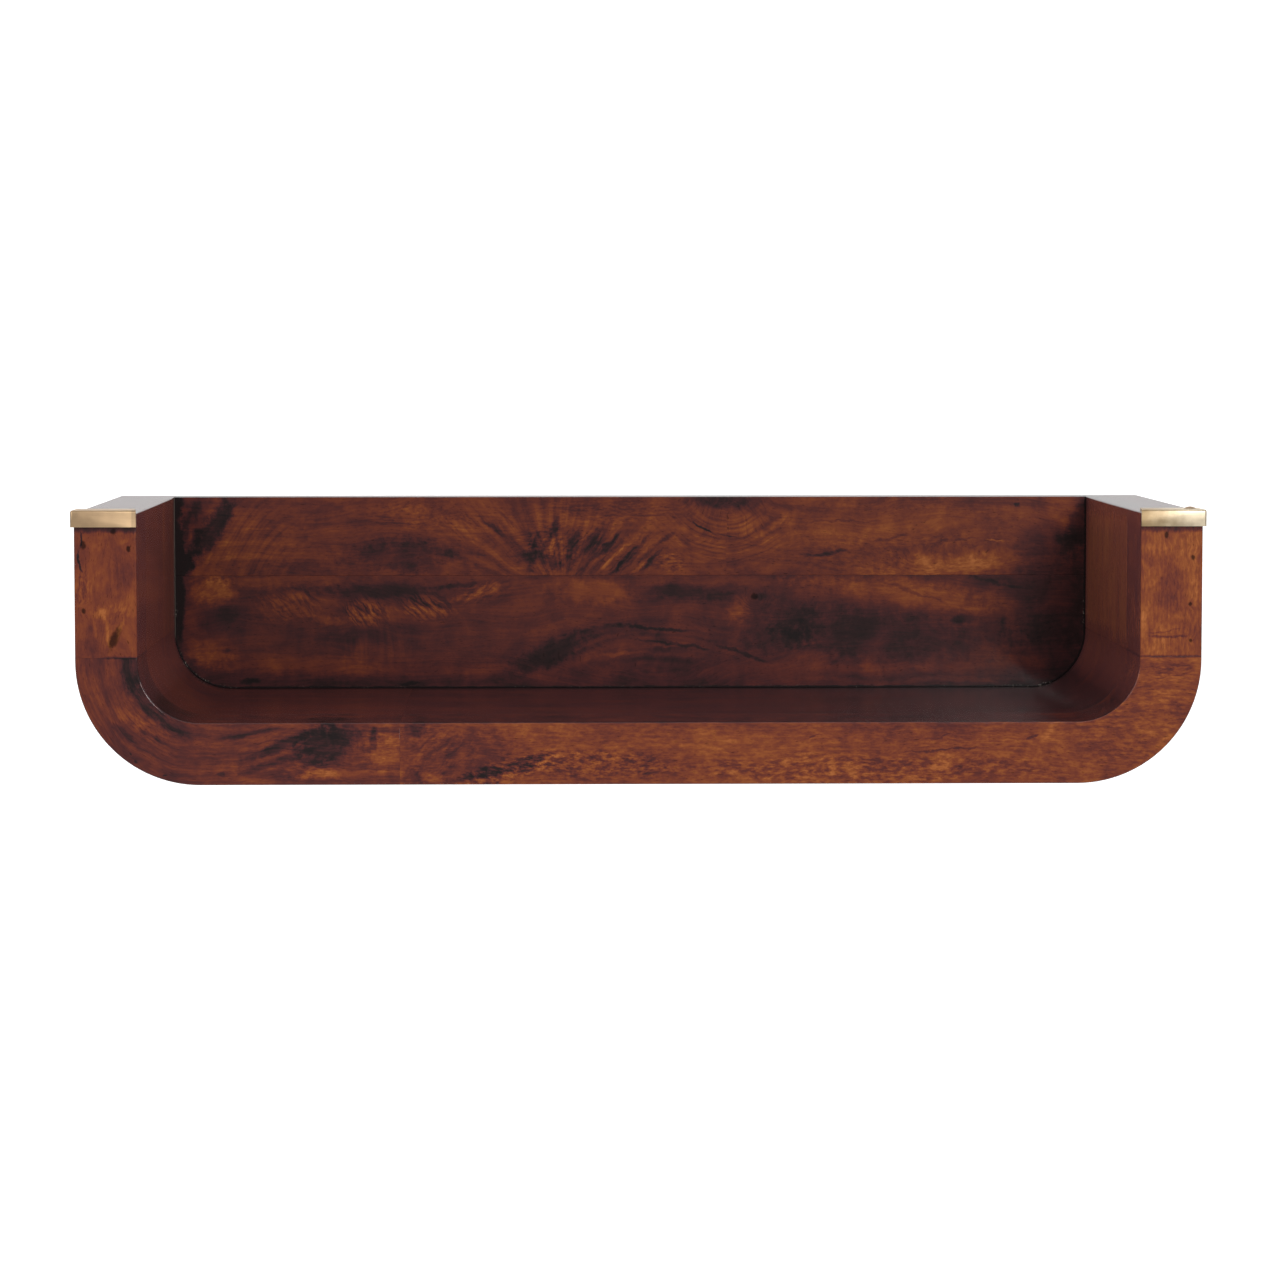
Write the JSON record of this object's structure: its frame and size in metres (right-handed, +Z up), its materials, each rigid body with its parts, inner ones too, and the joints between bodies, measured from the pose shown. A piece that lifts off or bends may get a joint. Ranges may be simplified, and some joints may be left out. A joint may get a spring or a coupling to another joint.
{
  "type": "wall shelf",
  "caption": "Trough-shaped floating wall shelf in dark solid wood with rounded lower corners, a back panel and folded brass caps on the front ends of its arms.",
  "frame": {"origin": "midway between the two hangers' entry holes, on the wall plane", "axes": "+Z up, +Y into the wall, so the open front faces -Y, and +X to the right as seen from the front"},
  "size_m": [0.6036, 0.2518, 0.1477],
  "materials": {
    "arm_wood": "chestnut-stained solid mango wood, gloss lacquer",
    "corner_wood": "chestnut-stained solid mango wood, gloss lacquer",
    "floor_wood": "chestnut-stained solid mango wood, gloss lacquer",
    "back_wood": "dark chestnut-stained figured mango wood, satin lacquer",
    "brass": "satin brass sheet with polished folds",
    "dowel_wood": "bare fluted hardwood dowel",
    "zinc_steel": "zinc-plated pressed steel"
  },
  "bodies": {
    "root": {"left_arm_front": "arm_wood", "left_arm_middle": "arm_wood", "left_arm_rear": "arm_wood", "right_arm_front": "arm_wood", "right_arm_middle": "arm_wood", "right_arm_rear": "arm_wood", "left_corner_front": "corner_wood", "left_corner_middle": "corner_wood", "left_corner_rear": "corner_wood", "floor_board_front": "floor_wood", "floor_board_middle": "floor_wood", "floor_board_rear": "floor_wood", "upper_back_plank": "back_wood", "lower_back_plank": "back_wood", "left_brass_cap": "brass", "right_brass_cap": "brass", "left_cap_pin": "brass", "right_cap_pin": "brass", "left_arm_dowels": "dowel_wood", "right_arm_dowels": "dowel_wood", "floor_dowels": "dowel_wood", "left_keyhole_plate": "zinc_steel", "right_keyhole_plate": "zinc_steel", "hanger_screws": "zinc_steel"}
  },
  "joints": []
}
